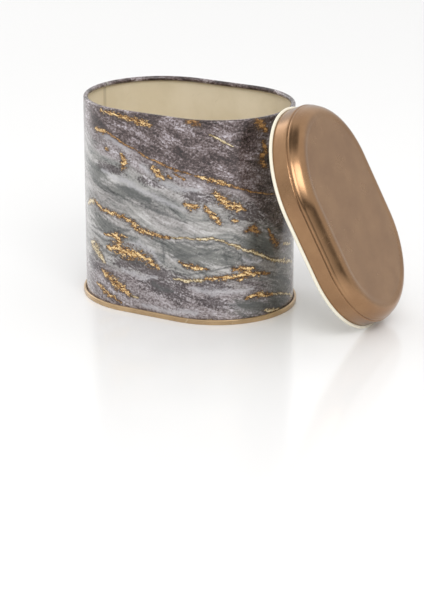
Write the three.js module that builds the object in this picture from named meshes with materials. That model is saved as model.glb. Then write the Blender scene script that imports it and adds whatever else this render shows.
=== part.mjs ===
// Oval candle tin with a slip lid, the lid taken off and leaning on the end of the tin.
// Millimetres, +Z up, the tin standing on Z = 0.
//
// Every piece is thin sheet that follows the same oval outline, so each one is a cross-section
// swept round that outline. In a cross-section, u is the distance outwards from the outside face
// of the tin's wall (negative is inwards) and z is the height.

import * as THREE from 'three';

// The oval: two half circles joined by straight sides.
const TIN_LENGTH = 112;
const TIN_WIDTH = 79.4;
const TIN_HEIGHT = 105;
const ARC_STEPS = 26;

// Sheet and the gaps between sheets that touch.
const WALL_SHEET = 0.35;
const END_SHEET = 0.3;
const LID_SHEET = 0.35;
const SHEET_GAP = 0.2;
const COMPOUND_GAP = 0.06;

// Rim of the tin, rolled inwards.
const RIM_CURL_RADIUS = 1.2;
const RIM_CURL_TURN = 290;

// Double seam at the foot, and the bottom held in it.
const SEAM_HEIGHT = 2.6;
const SEAM_CORNER = 0.45;
const COVER_HOOK_FOOT = 0.95;
const BODY_HOOK_TOP = 1.75;
const COUNTERSINK_DEPTH = 3.2;
const PANEL_FIELD_INSET = 9;
const PANEL_FIELD_RISE = 0.7;

// Lid, measured from its mouth, open side down.
const LID_HEIGHT = 16;
const LID_CLEARANCE = 0.9;
const LID_CURL_RADIUS = 0.85;
const LID_CURL_TURN = 300;
const LID_STEP_HEIGHT = 9.4;
const LID_STEP_DEPTH = 0.55;
const LID_STEP_ROUND = 0.5;
const LID_CREST_INSET = 5.2;
const LID_SHOULDER_BASE = 4.5;
const LID_SHOULDER_START = 28;
const LID_PANEL_INSET = 8.2;
const LID_PANEL_SINK = 0.3;

// How the lid leans: turns about X, then Y, then Z, in degrees, and its sideways place.
const LID_ROLL = 14.7;
const LID_LEAN = 65;
const LID_SWING = 21.2;
const LID_ACROSS = 0.4;
const LEAN_GAP = 0.3;

const END_RADIUS = TIN_WIDTH / 2;
const HALF_STRAIGHT = TIN_LENGTH / 2 - END_RADIUS;

// A point of the oval with its outward normal, for each step round both half circles.
function ovalStations() {
  const stations = [];
  for (const side of [1, -1]) {
    for (let step = 0; step <= ARC_STEPS; step += 1) {
      const angle = Math.PI * (step / ARC_STEPS - 0.5);
      const normalX = side * Math.cos(angle);
      const normalY = side * Math.sin(angle);
      const x = side * HALF_STRAIGHT + END_RADIUS * normalX;
      stations.push({ x, y: END_RADIUS * normalY, normalX, normalY });
    }
  }
  return stations;
}

const STATIONS = ovalStations();

// Points [u, z] on an arc. Angles in degrees, from the +u direction towards +z.
function arc(centreU, centreZ, radiusU, radiusZ, from, to, steps) {
  const points = [];
  for (let step = 0; step <= steps; step += 1) {
    const angle = THREE.MathUtils.degToRad(from + ((to - from) * step) / steps);
    points.push([centreU + radiusU * Math.cos(angle), centreZ + radiusZ * Math.sin(angle)]);
  }
  return points;
}

function roundArc(centreU, centreZ, radius, from, to, steps) {
  return arc(centreU, centreZ, radius, radius, from, to, steps);
}

function addRing(positions, [u, z]) {
  for (const station of STATIONS) {
    positions.push(station.x + u * station.normalX, station.y + u * station.normalY, z);
  }
}

function addBand(index, lowerRing, upperRing) {
  const count = STATIONS.length;
  for (let i = 0; i < count; i += 1) {
    const next = (i + 1) % count;
    const a = lowerRing * count + i;
    const b = lowerRing * count + next;
    const c = upperRing * count + next;
    const d = upperRing * count + i;
    index.push(a, b, c, a, c, d);
  }
}

// Closes the middle of a ring with triangles to its centre.
function addCap(positions, index, ring, z, facesUp) {
  const count = STATIONS.length;
  const centre = positions.length / 3;
  positions.push(0, 0, z);
  for (let i = 0; i < count; i += 1) {
    const here = ring * count + i;
    const next = ring * count + ((i + 1) % count);
    index.push(centre, facesUp ? here : next, facesUp ? next : here);
  }
}

function asGeometry(positions, index) {
  const geometry = new THREE.BufferGeometry();
  geometry.setAttribute('position', new THREE.Float32BufferAttribute(positions, 3));
  geometry.setIndex(index);
  geometry.computeVertexNormals();
  return geometry;
}

// Sweeps a closed cross-section, given counter-clockwise as seen with u to the right, into a hoop.
function hoop(section) {
  const positions = [];
  const index = [];
  section.forEach((point) => addRing(positions, point));
  section.forEach((point, i) => addBand(index, i, (i + 1) % section.length));
  return asGeometry(positions, index);
}

// Sweeps a cross-section whose first point is the panel's edge below and whose last is its edge
// above, given counter-clockwise, and closes both faces of the panel.
function pan(section) {
  const positions = [];
  const index = [];
  const last = section.length - 1;
  section.forEach((point) => addRing(positions, point));
  for (let i = 0; i < last; i += 1) addBand(index, i, i + 1);
  addCap(positions, index, 0, section[0][1], false);
  addCap(positions, index, last, section[last][1], true);
  return asGeometry(positions, index);
}

// Places, across the double seam, of the sheets that lie one outside the other.
const COVER_HOOK_IN = SHEET_GAP;
const COVER_HOOK_OUT = COVER_HOOK_IN + END_SHEET;
const BODY_HOOK_IN = COVER_HOOK_OUT + SHEET_GAP;
const BODY_HOOK_OUT = BODY_HOOK_IN + WALL_SHEET;
const SEAM_WALL_IN = BODY_HOOK_OUT + SHEET_GAP;
const SEAM_OUT = SEAM_WALL_IN + END_SHEET;
const CHUCK_WALL_OUT = -WALL_SHEET - SHEET_GAP;
const CHUCK_WALL_IN = CHUCK_WALL_OUT - END_SHEET;
const BODY_FOOT = END_SHEET + SHEET_GAP;

// The wall, up its outside, over the rolled rim, down its inside and round the body hook.
function tinBodySection() {
  const rimZ = TIN_HEIGHT - RIM_CURL_RADIUS;
  const rimOutside = roundArc(-RIM_CURL_RADIUS, rimZ, RIM_CURL_RADIUS, 0, RIM_CURL_TURN, 14);
  const innerRadius = RIM_CURL_RADIUS - WALL_SHEET;
  const rimInside = roundArc(-RIM_CURL_RADIUS, rimZ, innerRadius, RIM_CURL_TURN, 0, 12);
  const turnU = (BODY_HOOK_OUT - WALL_SHEET) / 2;
  const turnOut = BODY_HOOK_OUT - turnU;
  const turnZ = BODY_FOOT + turnOut * 0.55;
  const hookInside = arc(turnU, turnZ, BODY_HOOK_IN - turnU, turnZ - BODY_FOOT - WALL_SHEET, 0, -180, 6);
  const hookOutside = arc(turnU, turnZ, turnOut, turnZ - BODY_FOOT, 180, 360, 8);
  return [
    ...rimOutside,
    ...rimInside,
    ...hookOutside,
    [BODY_HOOK_OUT, BODY_HOOK_TOP],
    [BODY_HOOK_IN, BODY_HOOK_TOP],
    ...hookInside,
  ];
}

// The bottom: panel, raised field, countersink wall, flat foot, seam wall and cover hook.
function bottomEndSection() {
  const panelTop = COUNTERSINK_DEPTH + END_SHEET;
  const fieldEdge = -PANEL_FIELD_INSET;
  const rampEdge = fieldEdge + PANEL_FIELD_RISE * 1.6;
  const corner = SEAM_CORNER;
  const innerCorner = corner - END_SHEET;
  const seamTop = SEAM_HEIGHT - corner;
  const hookTurn = (SEAM_OUT - COVER_HOOK_IN) / 2;
  const hookTurnInside = hookTurn - END_SHEET;
  const hookU = COVER_HOOK_IN + hookTurn;
  const hookRise = corner;
  return [
    [fieldEdge, COUNTERSINK_DEPTH + PANEL_FIELD_RISE],
    [rampEdge, COUNTERSINK_DEPTH],
    ...roundArc(CHUCK_WALL_IN - corner, COUNTERSINK_DEPTH - corner, corner, 90, 0, 3),
    ...roundArc(CHUCK_WALL_IN + corner, corner, corner, 180, 270, 3),
    ...roundArc(SEAM_OUT - corner, corner, corner, -90, 0, 4),
    ...arc(hookU, seamTop, hookTurn, hookRise, 0, 180, 8),
    [COVER_HOOK_IN, COVER_HOOK_FOOT],
    [COVER_HOOK_OUT, COVER_HOOK_FOOT],
    ...arc(hookU, seamTop, hookTurnInside, hookRise - END_SHEET, 180, 0, 6),
    ...roundArc(SEAM_OUT - corner, corner, innerCorner, 0, -90, 2),
    ...roundArc(CHUCK_WALL_IN + corner, corner, innerCorner, 270, 180, 2),
    ...roundArc(CHUCK_WALL_OUT - corner, panelTop - corner, corner, 0, 90, 3),
    [rampEdge, panelTop],
    [fieldEdge, panelTop + PANEL_FIELD_RISE],
  ];
}

// The sealing ring squeezed between the body hook and the crown of the seam.
function seamCompoundSection() {
  const inside = COVER_HOOK_OUT + COMPOUND_GAP;
  const outside = SEAM_WALL_IN - COMPOUND_GAP;
  const shoulder = SEAM_HEIGHT - SEAM_CORNER - COMPOUND_GAP;
  const crown = SEAM_CORNER - END_SHEET;
  const middle = (inside + outside) / 2;
  return [
    [inside, BODY_HOOK_TOP + COMPOUND_GAP],
    [outside, BODY_HOOK_TOP + COMPOUND_GAP],
    ...arc(middle, shoulder, outside - middle, crown, 0, 180, 4),
  ];
}

// The shoulder of the lid, an elliptical arc that ends level at the crest.
function shoulderArc(inset, from, to) {
  const start = THREE.MathUtils.degToRad(LID_SHOULDER_START);
  const startU = LID_CLEARANCE + LID_SHEET - LID_STEP_DEPTH;
  const radiusU = (startU + LID_CREST_INSET) / Math.cos(start);
  const radiusZ = LID_HEIGHT - LID_SHOULDER_BASE;
  return arc(-LID_CREST_INSET, LID_SHOULDER_BASE, radiusU - inset, radiusZ - inset, from, to, 8);
}

// The lid, out under its panel, down inside the skirt, round the curl and back up the outside.
function lidSection() {
  const panelTop = LID_HEIGHT - LID_PANEL_SINK;
  const skirtIn = LID_CLEARANCE;
  const skirtOut = skirtIn + LID_SHEET;
  const curlU = skirtIn + LID_CURL_RADIUS;
  const curlEnd = 180 + LID_CURL_TURN;
  const curlInside = LID_CURL_RADIUS - LID_SHEET;
  const stepZ = LID_STEP_HEIGHT - LID_STEP_ROUND;
  const stepU = skirtOut - LID_STEP_ROUND;
  const insideRound = LID_STEP_ROUND - LID_SHEET / 2;
  return [
    [-LID_PANEL_INSET, panelTop - LID_SHEET],
    ...shoulderArc(LID_SHEET, 90, LID_SHOULDER_START),
    ...roundArc(skirtIn - insideRound, stepZ - LID_SHEET / 2, insideRound, 90, 0, 3),
    ...roundArc(curlU, LID_CURL_RADIUS, LID_CURL_RADIUS, 180, curlEnd, 14),
    ...roundArc(curlU, LID_CURL_RADIUS, curlInside, curlEnd, 180, 12),
    ...roundArc(stepU, stepZ, LID_STEP_ROUND, 0, 90, 4),
    ...shoulderArc(0, LID_SHOULDER_START, 90),
    [-LID_PANEL_INSET, panelTop],
  ];
}

// How far outside the tin's wall a point is, level with the wall or below its rim.
function distanceFromWall(point) {
  const beyondStraight = Math.max(Math.abs(point.x) - HALF_STRAIGHT, 0);
  return Math.hypot(beyondStraight, point.y) - END_RADIUS;
}

// The lid's place when it stands on its curl and leans on the end of the tin.
function leaningPlace(geometry, rotation) {
  const positions = geometry.getAttribute('position');
  const points = [];
  for (let i = 0; i < positions.count; i += 1) {
    points.push(new THREE.Vector3().fromBufferAttribute(positions, i).applyEuler(rotation));
  }
  const place = new THREE.Vector3(TIN_LENGTH, LID_ACROSS, 0);
  place.z = -Math.min(...points.map((point) => point.z));
  const besideWall = points.filter((point) => point.z + place.z < TIN_HEIGHT);
  for (let pass = 0; pass < 6; pass += 1) {
    const gaps = besideWall.map((point) => distanceFromWall(point.clone().add(place)));
    place.x += LEAN_GAP - Math.min(...gaps);
  }
  return place;
}

function piece(name, geometry, color, roughness, metalness) {
  const material = new THREE.MeshStandardMaterial({ color, roughness, metalness });
  const mesh = new THREE.Mesh(geometry, material);
  mesh.name = name;
  return mesh;
}

function makeTin() {
  const tin = new THREE.Group();
  tin.add(piece('tin_body', hoop(tinBodySection()), 0x85838a, 0.3, 0.2));
  tin.add(piece('bottom_end', pan(bottomEndSection()), 0xa98a63, 0.35, 0.8));
  tin.add(piece('seam_compound', hoop(seamCompoundSection()), 0x4c4a46, 0.9, 0));
  return tin;
}

function makeLid() {
  const lid = piece('lid', pan(lidSection()), 0x9c7b62, 0.35, 0.9);
  const { degToRad } = THREE.MathUtils;
  lid.rotation.set(degToRad(LID_ROLL), degToRad(LID_LEAN), degToRad(LID_SWING), 'ZYX');
  lid.position.copy(leaningPlace(lid.geometry, lid.rotation));
  return lid;
}

// Puts the origin under the middle of everything, on the floor.
function standOnOrigin(group) {
  group.updateMatrixWorld(true);
  const middle = new THREE.Box3().setFromObject(group, true).getCenter(new THREE.Vector3());
  group.position.set(-middle.x, -middle.y, 0);
}

const candleTin = new THREE.Group();
candleTin.add(makeTin());
candleTin.add(makeLid());
standOnOrigin(candleTin);

export default candleTin;
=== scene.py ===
import math

import bpy
from mathutils import Euler, Matrix, Vector


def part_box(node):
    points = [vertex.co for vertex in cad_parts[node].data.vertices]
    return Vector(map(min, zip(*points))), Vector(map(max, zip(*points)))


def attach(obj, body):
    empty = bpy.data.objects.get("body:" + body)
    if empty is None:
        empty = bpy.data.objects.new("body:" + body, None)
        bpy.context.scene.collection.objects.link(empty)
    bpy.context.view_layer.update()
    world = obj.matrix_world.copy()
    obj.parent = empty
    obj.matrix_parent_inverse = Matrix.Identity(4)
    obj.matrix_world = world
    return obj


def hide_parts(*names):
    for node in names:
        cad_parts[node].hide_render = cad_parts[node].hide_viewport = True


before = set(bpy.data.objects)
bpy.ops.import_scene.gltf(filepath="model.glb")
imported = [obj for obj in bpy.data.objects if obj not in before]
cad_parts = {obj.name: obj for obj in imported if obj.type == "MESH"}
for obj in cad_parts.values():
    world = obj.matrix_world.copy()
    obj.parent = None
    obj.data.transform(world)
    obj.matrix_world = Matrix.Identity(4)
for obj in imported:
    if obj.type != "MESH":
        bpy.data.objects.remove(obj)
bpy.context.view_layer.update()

# ----------------------------------------------------------
# Sizes. Lengths are in metres, as the frame is. MM turns the maker's millimetres into metres.
# ----------------------------------------------------------

MM = 0.001

# Sheet thicknesses, and the gap between sheets folded over each other.
WALL_SHEET = 0.35 * MM
END_SHEET = 0.3 * MM
LID_SHEET = 0.35 * MM
SHEET_GAP = 0.2 * MM

# Rim of the tin, rolled inwards. Turns are in degrees.
RIM_CURL_RADIUS = 1.2 * MM
RIM_CURL_TURN = 296

# Double seam at the foot, with the sheets that lie one outside the other. The turn under the
# wall's hook is flattened: it is this share of its width in height.
SEAM_HEIGHT = 2.6 * MM
SEAM_CORNER = 0.45 * MM
COVER_HOOK_FOOT = 0.95 * MM
BODY_HOOK_TOP = 1.75 * MM
BODY_HOOK_FLATTENED = 0.55
COVER_HOOK_IN = SHEET_GAP
COVER_HOOK_OUT = COVER_HOOK_IN + END_SHEET
BODY_HOOK_IN = COVER_HOOK_OUT + SHEET_GAP
BODY_HOOK_OUT = BODY_HOOK_IN + WALL_SHEET
SEAM_OUT = BODY_HOOK_OUT + SHEET_GAP + END_SHEET
CHUCK_WALL_OUT = -WALL_SHEET - SHEET_GAP
CHUCK_WALL_IN = CHUCK_WALL_OUT - END_SHEET
BODY_FOOT = END_SHEET + SHEET_GAP

# Panel of the bottom.
COUNTERSINK_DEPTH = 3.2 * MM
PANEL_FIELD_INSET = 9 * MM
PANEL_FIELD_RISE = 0.7 * MM
PANEL_RAMP_WIDTH = 1.12 * MM

# Lid, measured from its mouth. The bead's top and the shoulder's start are in degrees up the
# shoulder's arc.
LID_HEIGHT = 16 * MM
LID_CLEARANCE = 0.9 * MM
LID_CURL_RADIUS = 0.85 * MM
LID_CURL_TURN = 300
LID_STEP_HEIGHT = 9.4 * MM
LID_STEP_DEPTH = 0.55 * MM
LID_STEP_ROUND = 0.5 * MM
LID_BEAD_HEIGHT = 0.32 * MM
LID_BEAD_FOOT = (0.1 * MM, 0.02 * MM)
LID_BEAD_TOP = 37
LID_CREST_INSET = 5.2 * MM
LID_CREST_FLAT = 0.3 * MM
LID_SHOULDER_BASE = 4.5 * MM
LID_SHOULDER_START = 28
LID_PANEL_INSET = 8.2 * MM
LID_PANEL_SINK = 0.18 * MM

# How the lid leans: turns about X, then Y, then Z, in degrees.
LID_TURNS = (14.7, 65, 21.2)

# Pieces of sheet round the oval.
STEPS_ROUND = 360
SHARP_EDGE = math.radians(35)
WELD_DISTANCE = 0.002 * MM

# The tin's oval, read from the frame: two half circles joined by straight sides.
TIN_LOW, TIN_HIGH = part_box("tin_body")
TIN_MIDDLE = (TIN_LOW + TIN_HIGH) / 2
TIN_HEIGHT = round(TIN_HIGH.z, 4)
END_RADIUS = round((TIN_HIGH.y - TIN_LOW.y) / 2 - BODY_HOOK_OUT, 5)
HALF_STRAIGHT = round((TIN_HIGH.x - TIN_LOW.x) / 2 - BODY_HOOK_OUT, 5) - END_RADIUS

# Where the edges of the wall's sheet meet, as a distance round the wall from the middle of
# the front, towards the lid.
SIDE_SEAM = -87 * MM


# ----------------------------------------------------------
# Wiring of node trees
# ----------------------------------------------------------

def socket_of(value):
    """The output to link from: a node stands for its first output."""
    return value.outputs[0] if isinstance(value, bpy.types.Node) else value


def fill(tree, socket, value):
    """Links a value to a socket where it comes from a node, and sets it where it doesn't."""
    if isinstance(value, (bpy.types.Node, bpy.types.NodeSocket)):
        tree.links.new(socket_of(value), socket)
    else:
        socket.default_value = value


class Wiring:
    """Short ways to add the nodes that every tree here uses."""

    def __init__(self, tree):
        self.tree = tree

    def add(self, kind, inputs=None, **settings):
        """Adds a node, gives it its settings, then fills its inputs by name or number."""
        made = self.tree.nodes.new(kind)
        for name, value in settings.items():
            setattr(made, name, value)
        for name, value in (inputs or {}).items():
            fill(self.tree, made.inputs[name], value)
        return made

    def number(self, operation, *values):
        node = self.add("ShaderNodeMath", dict(enumerate(values)), operation=operation)
        return node.outputs[0]

    def vector(self, operation, *values):
        node = self.add("ShaderNodeVectorMath", dict(enumerate(values)), operation=operation)
        return node.outputs["Value" if operation in ("DOT_PRODUCT", "LENGTH", "DISTANCE") else 0]

    def scaled(self, vector, factor):
        node = self.add("ShaderNodeVectorMath", {0: vector, "Scale": factor}, operation="SCALE")
        return node.outputs[0]

    def turned(self, vector, turns):
        """A vector turned about X, Y and Z, in radians."""
        inputs = {0: vector, "Rotation": turns}
        return self.add("ShaderNodeVectorRotate", inputs, rotation_type="EULER_XYZ").outputs[0]

    def split(self, vector):
        return self.add("ShaderNodeSeparateXYZ", {0: vector}).outputs

    def combine(self, x, y, z=0.0):
        return self.add("ShaderNodeCombineXYZ", {0: x, 1: y, 2: z}).outputs[0]

    def ramp(self, value, low, high, to_low=0.0, to_high=1.0):
        """A value carried smoothly from one range to another, and held at its ends."""
        inputs = {0: value, 1: low, 2: high, 3: to_low, 4: to_high}
        node = self.add("ShaderNodeMapRange", inputs, interpolation_type="SMOOTHSTEP")
        return node.outputs[0]

    def noise(self, place, scale, detail, roughness, distortion=0.0):
        """A noise: its value is output 0 and its colour output 1."""
        inputs = {
            "Vector": place,
            "Scale": scale,
            "Detail": detail,
            "Roughness": roughness,
            "Distortion": distortion,
        }
        return self.add("ShaderNodeTexNoise", inputs).outputs

    def swayed(self, value, grain, strength):
        """A value moved up and down by a grain, about the grain's middle value."""
        off_middle = self.number("SUBTRACT", grain, 0.5)
        return self.number("MULTIPLY_ADD", off_middle, strength, value)

    def blend(self, factor, first, second, way="MIX"):
        inputs = {0: factor, 6: first, 7: second}
        return self.add("ShaderNodeMix", inputs, data_type="RGBA", blend_type=way).outputs[2]

    def tinted(self, colour, mask, strength, tint):
        """A colour with a tint laid over it where the mask is."""
        return self.blend(self.number("MULTIPLY", mask, strength), colour, tint)

    def colours(self, value, stops):
        """A colour ramp through (place, colour) stops."""
        node = self.add("ShaderNodeValToRGB", {0: value})
        points = node.color_ramp.elements
        while len(points) < len(stops):
            points.new(0.5)
        for point, (place, colour) in zip(points, stops):
            point.position = place
            point.color = colour
        return node.outputs[0]


# Kinds of socket.
VECTOR = "NodeSocketVector"
GEOMETRY = "NodeSocketGeometry"
MATERIAL = "NodeSocketMaterial"
FLOAT = "NodeSocketFloat"
WHOLE = "NodeSocketInt"


def new_group(name, kind, inputs, outputs, out_kind=FLOAT):
    """A node group with named sockets. An input is given its kind of socket, or a first value.
    Returns the group's wiring, its inputs and its output node."""
    tree = bpy.data.node_groups.new(name, kind)
    for socket_name, first in inputs.items():
        in_kind = {str: first, int: WHOLE, float: FLOAT}[type(first)]
        socket = tree.interface.new_socket(socket_name, in_out="INPUT", socket_type=in_kind)
        if first != in_kind:
            socket.default_value = first
    for socket_name in outputs:
        tree.interface.new_socket(socket_name, in_out="OUTPUT", socket_type=out_kind)
    entry = tree.nodes.new("NodeGroupInput")
    leave = tree.nodes.new("NodeGroupOutput")
    return Wiring(tree), entry.outputs, leave


def close_group(wiring, leave, *values):
    """Links a group's outputs, in the order that it names them, and returns the group."""
    for socket, value in zip(leave.inputs, values):
        fill(wiring.tree, socket, value)
    return wiring.tree


def place_group(wiring, group, **inputs):
    """Puts a shader node group in a material. An underscore in a name stands for a space."""
    named = {name.replace("_", " ").capitalize(): value for name, value in inputs.items()}
    return wiring.add("ShaderNodeGroup", named, node_tree=group).outputs


def srgb(red, green, blue):
    """A colour given as a painter would pick it, from 0 to 255, as the linear one nodes use."""
    def linear(value):
        share = value / 255
        return share / 12.92 if share <= 0.04045 else ((share + 0.055) / 1.055) ** 2.4
    return (linear(red), linear(green), linear(blue), 1.0)


# ----------------------------------------------------------
# Cross-sections of the sheet. A point is (u, z): u outwards from the outside of the tin's wall,
# z upwards. Each stretch of a section is a list of points and says whether it is lining.
# ----------------------------------------------------------

def oval_arc(centre, radii, start, end, steps):
    """Points on an elliptical arc. Degrees, from the +u direction towards +z."""
    points = []
    for step in range(steps + 1):
        angle = math.radians(start + (end - start) * step / steps)
        u = centre[0] + radii[0] * math.cos(angle)
        points.append((u, centre[1] + radii[1] * math.sin(angle)))
    return points


def arc(centre, radius, start, end, steps):
    """Points on a round arc."""
    return oval_arc(centre, (radius, radius), start, end, steps)


def between(first, last, share):
    """The point this share of the way from one point to another."""
    return tuple(a + (b - a) * share for a, b in zip(first, last))


def rise(first, last, steps):
    """Evenly spaced points between two, without the two themselves."""
    return [between(first, last, step / steps) for step in range(1, steps)]


def soft_ramp(first, last, steps=10):
    """A pressed step in the sheet: an S from one level to the other."""
    points = []
    for step in range(steps + 1):
        share = step / steps
        eased = share * share * (3 - 2 * share)
        u = between(first, last, share)[0]
        points.append((u, between(first, last, eased)[1]))
    return points


def tin_body_section():
    """Up the printed outside, over the rolled rim, down the lining, round the seam's hook."""
    rim = (-RIM_CURL_RADIUS, TIN_HEIGHT - RIM_CURL_RADIUS)
    turn_u = (BODY_HOOK_OUT - WALL_SHEET) / 2
    turn_out = BODY_HOOK_OUT - turn_u
    turn_up = turn_out * BODY_HOOK_FLATTENED
    turn = (turn_u, BODY_FOOT + turn_up)
    foot = (0, turn[1])
    outside = [foot, *rise(foot, (0, rim[1]), steps=12)]
    outside += arc(rim, RIM_CURL_RADIUS, 0, RIM_CURL_TURN, steps=44)
    lining = arc(rim, RIM_CURL_RADIUS - WALL_SHEET, RIM_CURL_TURN, 0, steps=36)
    lining += rise((-WALL_SHEET, rim[1]), (-WALL_SHEET, turn[1]), steps=12)
    lining += oval_arc(turn, (turn_out, turn_up), 180, 360, steps=16)
    lining += [(BODY_HOOK_OUT, BODY_HOOK_TOP), (BODY_HOOK_IN, BODY_HOOK_TOP)]
    inner_radii = (BODY_HOOK_IN - turn_u, turn_up - WALL_SHEET)
    lining += oval_arc(turn, inner_radii, 0, -180, steps=12)
    return [(outside, False), (lining, True)]


def bottom_end_section():
    """From the middle of the underside out round the seam, and back over the panel inside."""
    corner = SEAM_CORNER
    inner_corner = corner - END_SHEET
    panel_top = COUNTERSINK_DEPTH + END_SHEET
    field_u = -PANEL_FIELD_INSET
    ramp_u = field_u + PANEL_RAMP_WIDTH
    field_under = COUNTERSINK_DEPTH + PANEL_FIELD_RISE
    field_top = panel_top + PANEL_FIELD_RISE
    hook_turn = (SEAM_OUT - COVER_HOOK_IN) / 2
    hook = (COVER_HOOK_IN + hook_turn, SEAM_HEIGHT - corner)
    foot_in = (CHUCK_WALL_IN + corner, corner)
    foot_out = (SEAM_OUT - corner, corner)
    chuck_foot = (CHUCK_WALL_IN - corner, COUNTERSINK_DEPTH - corner)
    under = [(-END_RADIUS, field_under)]
    under += soft_ramp((field_u, field_under), (ramp_u, COUNTERSINK_DEPTH))
    under += arc(chuck_foot, corner, 90, 0, steps=8)
    under += arc(foot_in, corner, 180, 270, steps=8)
    under += arc(foot_out, corner, -90, 0, steps=10)
    under += oval_arc(hook, (hook_turn, corner), 0, 180, steps=24)
    under += [(COVER_HOOK_IN, COVER_HOOK_FOOT), (COVER_HOOK_OUT, COVER_HOOK_FOOT)]
    over = oval_arc(hook, (hook_turn - END_SHEET, inner_corner), 180, 0, steps=16)
    over += arc(foot_out, inner_corner, 0, -90, steps=5)
    over += arc(foot_in, inner_corner, 270, 180, steps=5)
    over += arc((CHUCK_WALL_OUT - corner, panel_top - corner), corner, 0, 90, steps=8)
    over += soft_ramp((ramp_u, panel_top), (field_u, field_top))
    over += [(-END_RADIUS, field_top)]
    return [(under, False), (over, True)]


def shoulder_arc(inset, start, end):
    """The lid's shoulder, level at its crest. inset is the depth below the sheet's outside."""
    start_u = LID_CLEARANCE + LID_SHEET - LID_STEP_DEPTH
    radius_u = (start_u + LID_CREST_INSET) / math.cos(math.radians(LID_SHOULDER_START))
    radius_z = LID_HEIGHT - LID_SHOULDER_BASE
    centre = (-LID_CREST_INSET, LID_SHOULDER_BASE)
    return oval_arc(centre, (radius_u - inset, radius_z - inset), start, end, steps=30)


def lid_bead(steps=16):
    """The raised ring between the lid's step and its shoulder, as points up its outside."""
    foot_in, foot_up = LID_BEAD_FOOT
    foot = (LID_CLEARANCE + LID_SHEET - LID_STEP_ROUND - foot_in, LID_STEP_HEIGHT + foot_up)
    top = shoulder_arc(0, LID_BEAD_TOP, 90)[0]
    points = []
    for step in range(1, steps):
        u, z = between(foot, top, step / steps)
        points.append((u + LID_BEAD_HEIGHT * math.sin(math.pi * step / steps), z))
    return points


def lid_section():
    """From the middle under the panel, down inside the skirt, round the curl, up the outside."""
    panel_top = LID_HEIGHT - LID_PANEL_SINK
    skirt_in = LID_CLEARANCE
    skirt_out = skirt_in + LID_SHEET
    curl = (skirt_in + LID_CURL_RADIUS, LID_CURL_RADIUS)
    curl_end = 180 + LID_CURL_TURN
    step = (skirt_out - LID_STEP_ROUND, LID_STEP_HEIGHT - LID_STEP_ROUND)
    inner_round = LID_STEP_ROUND - LID_SHEET / 2
    inner_step = (skirt_in - inner_round, step[1] - LID_SHEET / 2)
    crest = -LID_CREST_INSET - LID_CREST_FLAT
    panel = -LID_PANEL_INSET
    lining = [(-END_RADIUS, panel_top - LID_SHEET)]
    lining += soft_ramp((panel, panel_top - LID_SHEET), (crest, LID_HEIGHT - LID_SHEET))
    lining += shoulder_arc(LID_SHEET, 90, LID_SHOULDER_START)
    lining += arc(inner_step, inner_round, 90, 0, steps=8)
    lining += rise((skirt_in, step[1]), (skirt_in, curl[1]), steps=6)
    lining += arc(curl, LID_CURL_RADIUS, 180, curl_end, steps=44)
    outside = arc(curl, LID_CURL_RADIUS - LID_SHEET, curl_end, 180, steps=32)
    outside += rise((skirt_out, curl[1]), (skirt_out, step[1]), steps=6)
    outside += arc(step, LID_STEP_ROUND, 0, 90, steps=10)
    outside += lid_bead()
    outside += shoulder_arc(0, LID_BEAD_TOP, 90)
    outside += soft_ramp((crest, LID_HEIGHT), (panel, panel_top))
    outside += [(-END_RADIUS, panel_top)]
    return [(lining, True), (outside, False)]


def points_of(section):
    """All the points of a section, from its first stretch to its last."""
    return [point for stretch, _ in section for point in stretch]


def runs_along(points):
    """How far along the sheet each point is, counted from the first one's height."""
    runs = [points[0][1]]
    for last, point in zip(points, points[1:]):
        runs.append(runs[-1] + math.dist(last, point))
    return runs


def run_to(section, place):
    """How far along the sheet the section's nearest point to a place is."""
    points = points_of(section)
    gaps = [math.dist(point, place) for point in points]
    return runs_along(points)[gaps.index(min(gaps))]


def section_mesh(name, section, closed):
    """The section as a string of vertices, each with its run along the sheet and whether the
    stretch after it is lining."""
    points = points_of(section)
    linings = [lining for stretch, lining in section for _ in stretch]
    if closed:
        points.append(points[0])
        linings.append(linings[0])
    mesh = bpy.data.meshes.new(name)
    mesh.from_pydata([(u, 0, z) for u, z in points], [], [])
    along = mesh.attributes.new("along", "FLOAT", "POINT")
    lining = mesh.attributes.new("lining", "FLOAT", "POINT")
    for i, run in enumerate(runs_along(points)):
        along.data[i].value = run
        lining.data[i].value = float(linings[i])
    return mesh


# ----------------------------------------------------------
# Geometry Nodes: a sheet with a given cross-section, wrapped round the oval
# ----------------------------------------------------------

def named_value(tree, name):
    """A number stored under a name on the points or faces."""
    return tree.add("GeometryNodeInputNamedAttribute", {"Name": name}, data_type="FLOAT")


def taken(tree, section, value, index, kind="FLOAT"):
    """What the section's point with this index has."""
    inputs = {0: section, "Value": value, "Index": index}
    return tree.add("GeometryNodeSampleIndex", inputs, data_type=kind).outputs[0]


def stored(tree, sheet, name, value, kind, domain):
    """Stores a value on the sheet under a name."""
    inputs = {0: sheet, "Name": name, "Value": value}
    return tree.add("GeometryNodeStoreNamedAttribute", inputs, data_type=kind, domain=domain)


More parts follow.
